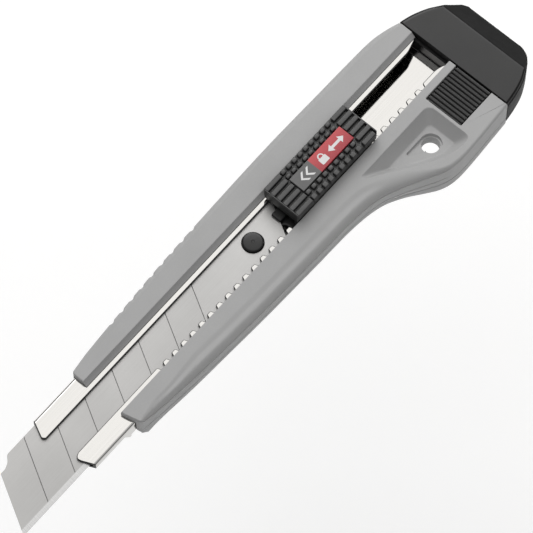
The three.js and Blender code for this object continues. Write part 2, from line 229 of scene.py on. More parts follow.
def combine(target, tools, operation):
    """Applies the tools to the target with an exact boolean, one after another, and removes them."""
    for tool in tools:
        modifier = target.modifiers.new("combine", "BOOLEAN")
        modifier.operation = operation
        modifier.solver = "EXACT"
        modifier.object = tool
    bake_modifiers(target)
    for tool in tools:
        bpy.data.objects.remove(tool)
    return target


def cut(target, *tools):
    return combine(target, tools, "DIFFERENCE")


def join(target, *tools):
    return combine(target, tools, "UNION")


def keep(target, tool):
    return combine(target, [tool], "INTERSECT")


def gather(*objects):
    """Puts several closed shapes into one mesh, each left whole."""
    shape = bmesh.new()
    for obj in objects:
        shape.from_mesh(obj.data)
    target = objects[0]
    shape.to_mesh(target.data)
    shape.free()
    for obj in objects[1:]:
        bpy.data.objects.remove(obj)
    return target


def round_edges(obj, width_at, segments=3, sharper_than=28):
    """Cleans the mesh, then rounds each edge sharper than an angle by width_at(middle of the edge)."""
    shape = bmesh.new()
    shape.from_mesh(obj.data)
    bmesh.ops.remove_doubles(shape, verts=shape.verts, dist=0.004)
    bmesh.ops.dissolve_degenerate(shape, dist=0.004, edges=shape.edges)
    bmesh.ops.dissolve_limit(shape, angle_limit=math.radians(0.1), verts=shape.verts, edges=shape.edges)
    weights = shape.edges.layers.float.new("bevel_weight_edge")
    wanted = {}
    for edge in shape.edges:
        if len(edge.link_faces) == 2 and edge.calc_face_angle(0) > math.radians(sharper_than):
            width = width_at((edge.verts[0].co + edge.verts[1].co) / 2)
            if width > 0:
                wanted[edge] = width
    widest = max(wanted.values(), default=0.0)
    for edge, width in wanted.items():
        edge[weights] = width / widest
    shape.to_mesh(obj.data)
    shape.free()
    modifier = obj.modifiers.new("round", "BEVEL")
    modifier.limit_method = "WEIGHT"
    modifier.width = widest
    modifier.segments = segments
    modifier.use_clamp_overlap = False
    modifier.miter_outer = "MITER_ARC"
    bake_modifiers(obj)
    return obj


def paint(obj, material, picks):
    """Gives a second material to the faces that picks(centre, normal) chooses, in millimetres."""
    obj.data.materials.append(material)
    for face in obj.data.polygons:
        if picks(face.center / MM, face.normal):
            face.material_index = 1
    return obj


def finish_piece(obj, name, body, slot, material, *nodes):
    """Scales a finished shape to metres, shades it, gives it its finish and hangs it on its body."""
    obj.name = name
    obj.data.name = name
    obj.data.transform(Matrix.Scale(MM, 4))
    obj.data.shade_smooth()
    obj.data.set_sharp_from_angle(angle=math.radians(32))
    weighted = obj.modifiers.new("weighted normals", "WEIGHTED_NORMAL")
    weighted.keep_sharp = True
    weighted.weight = 100
    obj.data.materials.clear()
    obj.data.materials.append(material)
    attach(obj, body)
    if nodes:
        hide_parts(*nodes)
    return obj


# ---- materials -----------------------------------------------------------------------------------

class Finish:
    """A small helper that builds one node material round a Principled shader."""

    def __init__(self, name):
        self.material = bpy.data.materials.new(name)
        self.material.use_nodes = True
        self.tree = self.material.node_tree
        self.shader = self.tree.nodes["Principled BSDF"]
        self.place = self.tree.nodes.new("ShaderNodeTexCoord").outputs["Object"]

    def set(self, **values):
        for socket, value in values.items():
            self.shader.inputs[socket.replace("_", " ")].default_value = value

    def node(self, kind, inputs=None, **settings):
        node = self.tree.nodes.new(kind)
        for key, value in settings.items():
            setattr(node, key, value)
        for socket, value in (inputs or {}).items():
            if isinstance(value, bpy.types.NodeSocket):
                self.tree.links.new(value, node.inputs[socket])
            else:
                node.inputs[socket].default_value = value
        return node

    def link(self, output, socket):
        self.tree.links.new(output, self.shader.inputs[socket])

    def stretched(self, scale):
        return self.node("ShaderNodeMapping", {"Vector": self.place, "Scale": scale}).outputs["Vector"]

    def noise(self, scale, detail=3.0, roughness=0.5, vector=None):
        inputs = {"Vector": vector or self.place, "Scale": scale, "Detail": detail, "Roughness": roughness}
        return self.node("ShaderNodeTexNoise", inputs).outputs["Fac"]

    def range(self, value, low, high, start=0.3, stop=0.7):
        inputs = {"Value": value, "From Min": start, "From Max": stop, "To Min": low, "To Max": high}
        return self.node("ShaderNodeMapRange", inputs).outputs["Result"]

    def blend(self, factor, a, b, kind="MIX"):
        node = self.node("ShaderNodeMix", data_type="RGBA", blend_type=kind)
        for socket, value in ((node.inputs[0], factor), (node.inputs[6], a), (node.inputs[7], b)):
            if isinstance(value, bpy.types.NodeSocket):
                self.tree.links.new(value, socket)
            else:
                socket.default_value = value
        return node.outputs[2]

    def math(self, operation, a, b=0.0):
        return self.node("ShaderNodeMath", {0: a, 1: b}, operation=operation).outputs[0]

    def axis(self, name):
        return self.node("ShaderNodeSeparateXYZ", {"Vector": self.place}).outputs[name]

    def bump(self, height, distance, strength=1.0, normal=None):
        inputs = {"Height": height, "Distance": distance, "Strength": strength}
        if normal is not None:
            inputs["Normal"] = normal
        return self.node("ShaderNodeBump", inputs).outputs["Normal"]


def grey(value, tint=(1.0, 1.0, 1.0)):
    """A grey of the given strength, perhaps with a slight tint."""
    return (value * tint[0], value * tint[1], value * tint[2], 1.0)


def moulded_plastic(name, dark, light, rough_low, rough_high, grain, shine=0.5):
    """Injection moulded plastic: faint clouding, a fine spark-eroded grain and slight waviness."""
    finish = Finish(name)
    cloud = finish.noise(70.0, 4.0)
    speck = finish.noise(5200.0, 2.0, 0.6)
    tone = finish.blend(finish.range(cloud, 0.0, 1.0), dark, light)
    shade = finish.range(speck, 0.965, 1.035)
    shade_colour = finish.node("ShaderNodeCombineColor", {"Red": shade, "Green": shade, "Blue": shade})
    finish.link(finish.blend(1.0, tone, shade_colour.outputs[0], "MULTIPLY"), "Base Color")
    finish.link(finish.range(finish.noise(420.0, 5.0), rough_low, rough_high), "Roughness")
    fine = finish.noise(3600.0, 3.0, 0.65)
    wavy = finish.noise(38.0, 2.0)
    rippled = finish.bump(wavy, 0.00012, 0.35)
    finish.link(finish.bump(fine, grain, 0.55, rippled), "Normal")
    finish.set(IOR=1.5, Metallic=0.0, Specular_IOR_Level=shine)
    return finish.material


def polished_steel():
    """Polished stainless sheet with faint drawing lines along the rail."""
    finish = Finish("polished_rail_steel")
    lines = finish.noise(1.0, 4.0, 0.6, finish.stretched((28.0, 5200.0, 5200.0)))
    haze = finish.noise(90.0, 4.0)
    tone = finish.blend(finish.range(lines, 0.0, 1.0), grey(0.62, (1.0, 0.985, 0.955)),
                        grey(0.67, (1.0, 0.985, 0.96)))
    finish.link(tone, "Base Color")
    rough = finish.math("ADD", finish.range(haze, 0.04, 0.07), finish.range(lines, 0.0, 0.03))
    finish.link(rough, "Roughness")
    finish.link(finish.bump(lines, 0.000004, 0.35), "Normal")
    finish.set(Metallic=1.0)
    return finish.material


def edge_shade_steel():
    """Near-black steel for the cut edges: painted shade and painted dark reflection, with a rough grain along
    the cut.
    """
    finish = Finish("cut_edge_painted_shade")
    lines = finish.noise(1.0, 4.0, 0.6, finish.stretched((4000.0, 4000.0, 600.0)))
    # near-black base colour: painted shade and painted dark reflection on the cut edges
    finish.link(finish.blend(finish.range(lines, 0.0, 1.0), grey(0.04), grey(0.08)), "Base Color")
    finish.link(finish.range(lines, 0.4, 0.55), "Roughness")
    finish.link(finish.bump(lines, 0.00001, 0.5), "Normal")
    finish.set(Metallic=1.0)
    return finish.material


def blade_steel(edge_y, bevel_width):
    """Ground carbon steel: fine lines along the body, finer cross lines on the brighter bevel."""
    finish = Finish("ground_blade_steel")
    body_lines = finish.noise(1.0, 5.0, 0.65, finish.stretched((90.0, 7000.0, 1000.0)))
    bevel_lines = finish.noise(1.0, 4.0, 0.6, finish.stretched((9000.0, 160.0, 1000.0)))
    cloud = finish.noise(55.0, 4.0)
    border = (edge_y + bevel_width) * MM
    on_bevel = finish.math("LESS_THAN", finish.axis("Y"), border)
    body_tone = finish.blend(finish.range(cloud, 0.0, 1.0), grey(0.35, (1.0, 0.99, 0.975)),
                             grey(0.39, (1.0, 0.99, 0.975)))
    body_tone = finish.blend(finish.range(body_lines, 0.0, 0.3), body_tone, grey(0.5))
    bevel_tone = finish.blend(finish.range(bevel_lines, 0.0, 1.0), grey(0.46), grey(0.56))
    finish.link(finish.blend(on_bevel, body_tone, bevel_tone), "Base Color")
    rough_body = finish.range(body_lines, 0.34, 0.44)
    rough_bevel = finish.range(bevel_lines, 0.24, 0.34)
    mixed = finish.node("ShaderNodeMix", {0: on_bevel, 2: rough_body, 3: rough_bevel}, data_type="FLOAT")
    finish.link(mixed.outputs[0], "Roughness")
    finish.link(finish.bump(body_lines, 0.000006, 0.4), "Normal")
    finish.set(Metallic=1.0)
    return finish.material


def spring_steel():
    """Zinc-plated steel for screws, rivets and springs."""
    finish = Finish("zinc_plated_steel")
    cloud = finish.noise(300.0, 4.0)
    tone = finish.blend(finish.range(cloud, 0.0, 1.0), grey(0.34, (0.97, 1.0, 1.03)),
                        grey(0.46, (1.0, 1.0, 0.98)))
    finish.link(tone, "Base Color")
    finish.link(finish.range(finish.noise(900.0, 3.0), 0.26, 0.42), "Roughness")
    finish.link(finish.bump(finish.noise(2500.0, 3.0), 0.000005, 0.4), "Normal")
    finish.set(Metallic=1.0)
    return finish.material


def printed_label(split_x):
    """The two-colour printed plate: grey towards the blade, red towards the cap, under a clear coat."""
    finish = Finish("printed_label")
    red_side = finish.math("GREATER_THAN", finish.axis("X"), split_x * MM)
    fade = finish.node("ShaderNodeMapRange", {
        "Value": finish.axis("Y"), "From Min": label_low.y * MM, "From Max": label_high.y * MM,
        "To Min": 0.0, "To Max": 1.0}).outputs["Result"]
    red = finish.blend(fade, (0.33, 0.008, 0.022, 1.0), (0.52, 0.045, 0.055, 1.0))
    dots = finish.range(finish.noise(4200.0, 2.0), 0.0, 0.1)
    red = finish.blend(dots, red, (0.62, 0.12, 0.12, 1.0))
    plain = finish.blend(finish.noise(500.0, 2.0), grey(0.085), grey(0.11))
    finish.link(finish.blend(red_side, plain, red), "Base Color")
    finish.link(finish.range(finish.noise(600.0, 3.0), 0.32, 0.42), "Roughness")
    finish.link(finish.bump(finish.noise(2600.0, 2.0), 0.000008, 0.4), "Normal")
    finish.set(Coat_Weight=0.2, Coat_Roughness=0.3)
    return finish.material


def white_ink():
    """The slightly uneven white of the printed signs."""
    finish = Finish("white_ink")
    tone = finish.blend(finish.noise(900.0, 3.0), grey(0.66), grey(0.78))
    finish.link(tone, "Base Color")
    finish.link(finish.range(finish.noise(700.0, 2.0), 0.38, 0.5), "Roughness")
    finish.link(finish.bump(finish.noise(3000.0, 2.0), 0.000006, 0.4), "Normal")
    return finish.material


def pale_floor():
    """White paper that glows faintly, so that no shadow turns it grey."""
    finish = Finish("pale_floor")
    tone = finish.blend(finish.noise(6.0, 3.0), grey(0.93), grey(0.95))
    finish.link(tone, "Base Color")
    finish.set(Roughness=0.75, Emission_Color=(1.0, 1.0, 1.0, 1.0), Emission_Strength=0.13)
    return finish.material


GREY = moulded_plastic("grey_moulded_shell", grey(0.37), grey(0.39), 0.54, 0.62, 0.000022)
BLACK = moulded_plastic("black_moulded_plastic", grey(0.010, (1.0, 1.0, 1.03)), grey(0.015), 0.30, 0.36,
                        0.00002, 0.42)
# a duller, less reflective copy of the black, put on the cap's sides as painted shade
BLACK_SIDE_SHADE = moulded_plastic("black_plastic_side_shade", grey(0.010), grey(0.014), 0.5, 0.6, 0.00003, 0.12)
GRIP = moulded_plastic("black_grip_plastic", grey(0.011), grey(0.018), 0.4, 0.5, 0.00002, 0.85)
RAIL = polished_steel()
# near-black steel painted on the rail's cut edges as painted shade and painted dark reflection
EDGE_PAINTED_SHADE = edge_shade_steel()
BLADE = blade_steel(blade_low.y, 1.4)
SPRING = spring_steel()
LABEL = printed_label(27.8)
INK = white_ink()


# ---- handle --------------------------------------------------------------------------------------

def notch(point):
    """Finger notches on the upper edge: long humps with short flat dips between them."""
    if lower_side(point):
        return 0.0
    first, pitch, count, depth = -38.8, 4.2, 8, 0.34
    steps = min(max(round((point[0] - first) / pitch), 0), count)
    from_dip = abs(point[0] - first - pitch * steps)
    return depth * (1 - ramp(from_dip, [(0.25, 0.0), (1.0, 1.0)]))


def handle_outline():
    """Counter-clockwise outline of the handle, seen from the front; it runs on past the rear end."""
    past = REAR_X + 8
    lower = smooth_line([(-50, -12.55), (-42, -13.3), (-30, -14.2), (-10, -15.2), (10, -15.8), (25, -16.2),
                         (34, -17.5), (40, -20), (45, -22.7), (50, -25.4), (54, -26.6), (60, -26.8),
                         (REAR_X, -26)], 10)
    upper = smooth_line([(REAR_X, 11.6), (72, 12.9), (67, 13.9), (60, 14.2), (45, 14.45), (25, 14.7),
                         (0, 14.3), (-20, 13.65), (-40, 12.4), (-50, 11.7)], 50)
    nose = rounded_polygon([(-50, 11.7), (NOSE_X, 10.9), (NOSE_X, -6.7), (NOSE_X + 1.3, -12.0),
                            (-50, -12.55)], [0, 1.1, 0.9, 0.9, 0], 6)
    nose = [point for point in nose if point[0] < -50.5]
    return lower + [(past, -25), (past, 8)] + upper + nose


def lower_side(point):
    """True on the side of the cutting edge, where the lobe is."""
    return point[1] < 0


def front_round(point):
    """Width and height of the rounding where the front face meets the side."""
    x = point[0]
    if lower_side(point):
        width = ramp(x, [(-55, 0.5), (-53, 1.9), (-46, 3.0), (-30, 5.0), (30, 5.2), (38, 4.0), (53, 1.1),
                         (60, 0.8)])
        height = ramp(x, [(-55, 0.5), (-53, 1.5), (-46, 1.9), (-30, 2.2), (34, 2.3), (53, 1.1), (60, 0.8)])
        return width, height
    width = ramp(x, [(-56, 0.45), (-45, 0.5), (-25, 1.35), (2, 1.6), (66, 1.7), (76, 1.2)])
    height = ramp(x, [(-56, 0.45), (-45, 0.45), (-25, 0.75), (2, 1.0), (66, 1.1), (76, 0.9)])
    return width, height


def side_line(point):
    """How strongly the moulded ledge and groove show: only on the lower side, from nose to lobe."""
    if not lower_side(point):
        return 0.0
    return ramp(point[0], [(-57, 0.0), (-54.5, 1.0), (48, 1.0), (54, 0.0)])


def tuck(point):
    """How far the lower side draws in towards the back, ahead of the lobe."""
    if not lower_side(point):
        return 0.0
    return 0.75 * ramp(point[0], [(-57, 0.4), (-50, 1.0), (36, 1.0), (50, 0.0)])


def shell_layers():
    """The front frame's side, from the joint with the cover up to its front face."""
    steps = 12
    layers = [
        lambda p: (0.22 + tuck(p) + notch(p), SPLIT_Z),
        lambda p: (tuck(p) + notch(p), SPLIT_Z + 0.22),
        lambda p: (0.45 * tuck(p) + notch(p), 6.0),
        lambda p: (0.12 * tuck(p) + notch(p), 6.9),
        lambda p: (notch(p), 7.55),
        lambda p: (0.2 * side_line(p) + notch(p), 7.7),
        lambda p: (0.2 * side_line(p) + notch(p), 7.9),
        lambda p: (notch(p), 8.05),
        lambda p: (notch(p), FACE_Z - front_round(p)[1] - 0.08),
        lambda p: (0.06 * side_line(p) + notch(p), FACE_Z - front_round(p)[1] - 0.02),
    ]

    def rounding(t):
        def rule(p):
            width, height = front_round(p)
            ledge = 0.28 * side_line(p)
            curve = 1.0 if lower_side(p) else ramp(p[0], [(-40, 1.0), (-22, 0.35)])
            swell = side_line(p) * ramp(p[0], [(-54, 0.0), (-40, 1.0), (30, 1.0), (38, 0.0)])
            across = curve * (1 - math.cos(t * math.pi / 2)) + (1 - curve) * t
            up = curve * math.sin(t * math.pi / 2) + (1 - curve) * t
            up += swell * 0.1 * math.sin(2 * math.pi * ramp(across, [(0.0, 0.0), (1.0, 1.0)]))
            inset = ledge + (width - ledge) * across + notch(p) * (1 - across)
            return inset, FACE_Z - height * (1 - up)
        return rule

    return layers + [rounding(i / steps) for i in range(steps + 1)]


def blended_cutter(rim, floor, path):
    """A cutter between two outlines; path lists (share of the way to the floor outline, z)."""
    rings = [[(rx + (fx - rx) * share, ry + (fy - ry) * share, z)
              for (rx, ry), (fx, fy) in zip(rim, floor)] for share, z in path]
    return ring_solid(rings)


def recess_cutter(rim_z, floor_z):
    """The sunk triangle: rounded rim, sloping walls and a small fillet round the floor."""
    rim = [(33.6, -10.0), (62.4, -10.0), (62.4, -24.7), (55.5, -24.1), (47, -19.6)]
    rim = rounded_polygon(rim, [2.6, 2.6, 2.2, 3.0, 4.0], 8)
    floor = [(41.8, -12.9), (59.6, -12.9), (59.6, -21.7), (55.2, -21.2), (50, -18.4)]
    floor = rounded_polygon(floor, [1.2, 1.5, 0.8, 2.0, 2.0], 8)
    out = 1 if rim_z > floor_z else -1
    path = [(1.12, floor_z), (1.05, floor_z + 0.02 * out), (0.98, floor_z + 0.1 * out),
            (0.92, floor_z + 0.3 * out), (0.1, rim_z - 0.45 * out), (0.055, rim_z - 0.24 * out),
            (0.0, rim_z - 0.08 * out), (-0.06, rim_z + 0.004 * out), (-0.06, rim_z + 3 * out)]
    return blended_cutter(rim, floor, path)


def teardrop_cutter():
    """The shallow drop-shaped pocket round the hole, with a tilted floor, deepest at its upper right."""

    def ring(reach, rise):
        tail = (HOLE_X - 6.0, HOLE_Y + reach - 0.55)
        drop = arc(tail, 0.55, 215, 90, 6) + arc((HOLE_X, HOLE_Y), reach, 90, -50, 30)
        drop.append((HOLE_X + 0.6, HOLE_Y - HOLE_RADIUS + 0.3))
        points = []
        for x, y in reversed(drop):
            depth = 0.6 + 0.06 * (x - HOLE_X) + 0.13 * (y - HOLE_Y)
            points.append((x, y, RECESS_Z + rise if rise > 0 else RECESS_Z - depth))
        return points

    foot, mouth = HOLE_RADIUS + 0.42, HOLE_RADIUS + 0.72
    return ring_solid([ring(foot, 0), ring(mouth, 0.05), ring(mouth, 1)])


def hole_cutter():
    """The hanging hole, with a small chamfer at the back."""
    low = RECESS_Z - WEB
    r = HOLE_RADIUS
    profile = [(r + 0.3, low - 1), (r + 0.3, low), (r, low + 0.3), (r, RECESS_Z + 1)]
    return lathe(HOLE_X, HOLE_Y, profile, 64)


def front_frame():
    """The front shell: channel for the rail, stepped window, seat for the latch, recess and hole."""
    shell = layered(handle_outline(), shell_layers())
    channel = RAIL_HALF + 0.2
    latch_room, latch_floor = 0.3, 9.4
    nose_slope = [(-60, 4), (-54.7, 4), (-54.7, SPLIT_Z), (-56.3, 9.2), (-60, 9.2)]
    window = [(-6.0, 11.0), (5.65, 11.0), (5.65, 11.6), (5.85, 11.8), (6.45, 12.35), (7.15, 13.3),
              (7.15, 15), (-6.0, 15)]
    cut(shell,
        block(REAR_X, REAR_X + 20, -40, 40, -5, 30),
        block(-60, 80, -channel, channel, 3, LIP_Z + 0.2),
        along_x(window, -60, 80),
        block(latch_low.x - latch_room, 80, latch_low.y - latch_room, latch_high.y + latch_room,
              latch_floor, 15),
        along_y(nose_slope, -30, 30))
    cut(shell, recess_cutter(FACE_Z, RECESS_Z), recess_cutter(0.0, RECESS_Z - WEB))
    cut(shell, teardrop_cutter())
    cut(shell, hole_cutter())

    def width_at(middle):
        in_window = -6.5 < middle.y < 7.6 and NOSE_X + 0.9 < middle.x < REAR_X + 0.1
        at_latch = middle.x > latch_low.x - 0.4 and latch_low.y - 0.5 < middle.y < -7.5
        at_rear = middle.x > REAR_X - 0.01 and middle.z > FACE_Z - 0.02
        from_hole = math.hypot(middle.x - HOLE_X, middle.y - HOLE_Y)
        if from_hole < HOLE_RADIUS + 0.05 and middle.z > RECESS_Z - 2:
            return 0.15
        if middle.z > 11 and (in_window or at_latch or at_rear):
            return 0.22
        return 0.0

    round_edges(shell, width_at)
    return finish_piece(shell, "front_frame_shell", "handle", "grey_shell", GREY, "front_frame")


def back_cover():
    """The cover: rounded towards the back, hollow inside, with sinks for its three screws."""
    steps = 9

    def rounding(t):
        def rule(p):
            width = ramp(p[0], [(-57, 0.6), (-44, 2.2), (-20, 2.9), (40, 2.9), (52, 1.5), (76, 1.5)])
            inset = width * (1 - math.sin(t * math.pi / 2)) + notch(p) * t + tuck(p) * (1.7 - 0.7 * t)
            return inset, width * 1.3 * (1 - math.cos(t * math.pi / 2))
        return rule

    top, wall_back = cover_top, 1.8
    layers = [rounding(i / steps) for i in range(steps + 1)]
    layers += [lambda p: (tuck(p) + notch(p), top - 0.22), lambda p: (0.22 + tuck(p) + notch(p), top)]
    cover = layered(handle_outline(), layers)
    back = REAR_X - 1.6
    nose_slope = [(-60, -1), (-50.5, -1), (-54.7, top + 0.1), (-60, top + 0.1)]
    hollow = [(-49.4, -10.9), (-42, -11.4), (-30, -12.2), (-10, -13.2), (10, -13.8), (25, -14.2), (32, -15),
              (32, -8.4), (64.2, -8.4), (64.2, -24.6), (back, -24.1), (back, 10), (67, 11.8), (45, 12.4),
              (25, 12.6), (0, 12.2), (-20, 11.5), (-40, 10.4), (-49.4, 9.8)]
    cut(cover, block(REAR_X, REAR_X + 20, -40, 40, -5, 30))
    cut(cover, along_y(nose_slope, -30, 30))
    cut(cover, prism(hollow, wall_back, 9))
    cut(cover, recess_cutter(0.0, RECESS_Z - WEB))
    sinks = [lathe(x, 0, [(2.55, -1), (2.55, 0.0), (2.3, 0.14), (2.3, 0.4), (1.15, 1.5), (1.15, 3)])
             for x in SCREW_X]
    cut(cover, *sinks)
    return finish_piece(cover, "back_cover_shell", "handle", "grey_shell", GREY, "back_cover")


def cover_screw(place, x):
    """A countersunk screw with a cross slot, driven in from the back."""
    screw = lathe(x, 0, [(1.75, 0.24), (1.95, 0.3), (2.0, 0.42), (0.8, 1.5), (0.8, 4.2), (0.35, 4.6)])
    arm, half = 1.15, 0.21
    cut(screw, block(x - arm, x + arm, -half, half, -1, 0.8))
    cut(screw, block(x - half, x + half, -arm, arm, -1, 0.8))
    return finish_piece(screw, f"cover_screw_{place}_turned", "handle", "spring_steel", SPRING,
                        f"cover_screw_{place}")


# ---- rail and blade ------------------------------------------------------------------------------

def rail_section():
    """The rail's C-shaped section, with round bends and lips that turn in over the blade."""
    wall, bend = RAIL_HALF, 1.0
    inner = bend - SHEET
    low, high = rail_low.z, rail_high.z
    outside = [(LIP_EDGE, high)] + arc((wall - bend, high - bend), bend, 90, 0, 8)
    outside += arc((wall - bend, low + bend), bend, 0, -90, 8)
    outside += arc((-wall + bend, low + bend), bend, -90, -180, 8)
    outside += arc((-wall + bend, high - bend), bend, 180, 90, 8) + [(-LIP_EDGE, high)]
    inside = [(-LIP_EDGE, high - SHEET)] + arc((-wall + bend, high - bend), inner, 90, 180, 4)
    inside += arc((-wall + bend, low + bend), inner, 180, 270, 4)
    inside += arc((wall - bend, low + bend), inner, 270, 360, 4)
    inside += arc((wall - bend, high - bend), inner, 0, 90, 4) + [(LIP_EDGE, high - SHEET)]
    return outside + inside


def rail_outline():
    """Seen from the front: slanted noses at the blade end, lips that open out at the rear."""
    wall = RAIL_HALF + 1
    nose_up = [(-71.5, wall), (rail_low.x, 5.3), (rail_low.x + 0.7, LIP_EDGE), (-71, LIP_EDGE)]
    nose_up = rounded_polygon(nose_up, [0, 0.5, 0.3, 0], 5)
    nose_low = smooth_line([(-71, -LIP_EDGE), (-71.9, -4.75), (-72.5, -5.5), (-72.3, -6.6)], 5)
    rear_low = smooth_line([(rail_high.x, -5.7), (74.4, -5.15), (73.0, -4.65), (71.5, -LIP_EDGE)], 5)
    rear_up = smooth_line([(71.0, LIP_EDGE), (72.2, 4.6), (rail_high.x, 5.5)], 5)
    return nose_up + nose_low + [(-70.2, -wall), (rail_high.x, -wall)] + rear_low + rear_up + [
        (rail_high.x, wall)]


def gullet(x):
    """One gap between two teeth of the lower lip: flat bottom, round corners and flared mouth."""
    mouth, bottom = -LIP_EDGE, -LIP_EDGE - 1.1
    side = [(0.42, bottom), (0.72, bottom + 0.2), (0.92, mouth - 0.35), (1.18, mouth + 0.02)]
    right = smooth_line([(x + reach, y) for reach, y in side], 4)
    left = smooth_line([(x - reach, y) for reach, y in reversed(side)], 4)
    return prism(right + [(x + 1.4, mouth + 0.3), (x - 1.4, mouth + 0.3)] + left, 10.3, 12)


def blade_rail():
    """The steel channel: raised floor at the nose, toothed lower lip, and cut edges painted near-black as
    painted shade.
    """
    first, pitch, count = -39.25, 3.5, 31
    floor, step = 8.8, SHEET
    rail = along_x(rail_section(), rail_low.x - 2, rail_high.x + 2)
    cut(rail, along_y([(-80, 0), (-57.6, 0), (-57.6, rail_low.z), (-59.5, floor), (-80, floor)], -12, 12))
    join(rail, along_y([(-80, floor), (-59.5, floor), (-57.6, rail_low.z), (-56.9, rail_low.z),
                        (-58.8, floor + step), (-80, floor + step)], -RAIL_HALF, RAIL_HALF))
    keep(rail, prism(rail_outline(), 0, 20))
    join(rail, block(71, rail_high.x, -6, 6, rail_low.z, rail_low.z + SHEET))
    cut(rail, *[gullet(first + pitch * i) for i in range(count)])

    def width_at(middle):
        on_lip = middle.z > LIP_Z - SHEET - 0.1 and (abs(middle.y) < LIP_EDGE + 1.3 or middle.x < NOSE_X)
        return 0.21 if on_lip else 0.0

    round_edges(rail, width_at, 2, 40)
    finish_piece(rail, "blade_rail_channel", "handle", "rail_steel", RAIL, "blade_rail")
    lip_foot = LIP_Z - SHEET - 0.02

    # faces of the lips' cut edges and of the rail's ends, which get the painted shade
    def painted_shade_faces(centre, normal):
        on_lip = centre.z > lip_foot and abs(centre.y) < LIP_EDGE + 1.3 and abs(normal.z) < 0.97
        at_end = centre.x > rail_high.x - 0.3 or centre.x < rail_low.x + 4
        return on_lip or (at_end and abs(normal.x) > 0.3)

    # the cut edges and ends take near-black steel: painted shade and painted dark reflection
    return paint(rail, EDGE_PAINTED_SHADE, painted_shade_faces)


def blade():
    """The blade: ground edge, slanted tail, snapped corner and V-shaped score lines."""
    lean = 1 / math.tan(math.radians(61))
    edge, spine = blade_low.y, blade_high.y
    back, front = blade_low.z, blade_high.z
    tip, bevel_width = blade_low.x, 1.4
    width = spine - edge
    section = [(edge, (back + front) / 2 - 0.02), (edge + bevel_width, back), (spine, back), (spine, front),
               (edge + bevel_width, front), (edge, (back + front) / 2 + 0.02)]
    broken = tip + (width - 2.3) * lean
    outline = [(tip, edge), (8, edge), (8 + width * lean, spine), (broken + 5.2, spine)]
    outline += smooth_line([(broken + 4.6, spine - 0.3), (broken + 3.4, spine - 1.5),
                            (broken + 1.9, spine - 2.2), (broken + 1.2, spine - 2.3)], 5)
    outline += [(broken, spine - 2.3)]
    plate = along_x(section, tip - 1, 20)
    keep(plate, prism(outline, 9, 12))
    pitch, count, depth, half = 10.45, 7, 0.13, 0.26
    y0, y1 = edge + bevel_width, spine + 0.2
    scores = []
    for i in range(1, count + 1):
        x0 = tip + pitch * i + 0.45
        x1 = x0 + (width + 0.2 - bevel_width) * lean
        scores.append(ring_solid([[(x - half, y, front + depth), (x + half, y, front + depth),
                                   (x, y, front - depth)] for x, y in ((x0, y0), (x1, y1))]))
    cut(plate, *scores)
    hole_x = (peg_low.x + peg_high.x) / 2
    cut(plate, lathe(hole_x, 0, [(3.0, 9), (3.0, front - 0.08), (3.12, front), (3.12, 12)], 64))
    return finish_piece(plate, "blade_plate", "slider", "blade_steel", BLADE, "blade")


def blade_peg():
    """The turned peg that holds the blade's tail: domed head with a small dimple."""
    x = (peg_low.x + peg_high.x) / 2
    radius = (peg_high.x - peg_low.x) / 2
    top = peg_high.z
    profile = [(1.5, 7.3), (1.5, 9.85), (radius, 9.9), (radius, top - 0.5)]
    profile += [(radius - 0.45 + 0.45 * math.cos(a), top - 0.5 + 0.36 * math.sin(a))
                for a in (math.radians(d) for d in (20, 40, 60, 80))]
    profile += [(radius * 0.6, top - 0.07), (radius * 0.3, top - 0.02), (0.45, top), (0.35, top - 0.12),
                (0.02, top - 0.12)]
    return finish_piece(lathe(x, 0, profile, 64), "blade_peg_turned", "slider", "black_plastic", BLACK,
                        "blade_peg")


def blade_carriage():
    """The sled under the blade: a block with rounded corners, a neck between the lips, and a nose."""
    low, high = span("blade_carriage")
    sled_top, nose_low = 9.7, blade_high.z + 0.3
    sled = block(12.5, high.x, low.y, high.y, low.z, sled_top)
    join(sled, block(low.x, 15, -2.6, high.y, low.z, sled_top))
    round_edges(sled, lambda middle: 0.7, 4)
    neck = block(16.5, high.x - 0.5, -4, 4, sled_top - 0.3, high.z)
    nose = block(11.7, 17.5, -1.8, 1.5, nose_low, high.z)
    round_edges(nose, lambda middle: 0.5 if middle.x < 12 or middle.z > 11 else 0.0, 4)
    gather(sled, neck, nose)
    return finish_piece(sled, "blade_carriage_sled", "slider", "black_plastic", BLACK, "blade_carriage")


# ---- slider --------------------------------------------------------------------------------------

def studs(boxes, width):
    """Small blocks with rounded corners; only their foot edges, sunk in another shape, stay sharp."""
    group = gather(*[block(*box) for box in boxes])
    foot = min(box[4] for box in boxes)
    return round_edges(group, lambda middle: width if middle.z > foot + 0.05 else 0.0, 3, 40)


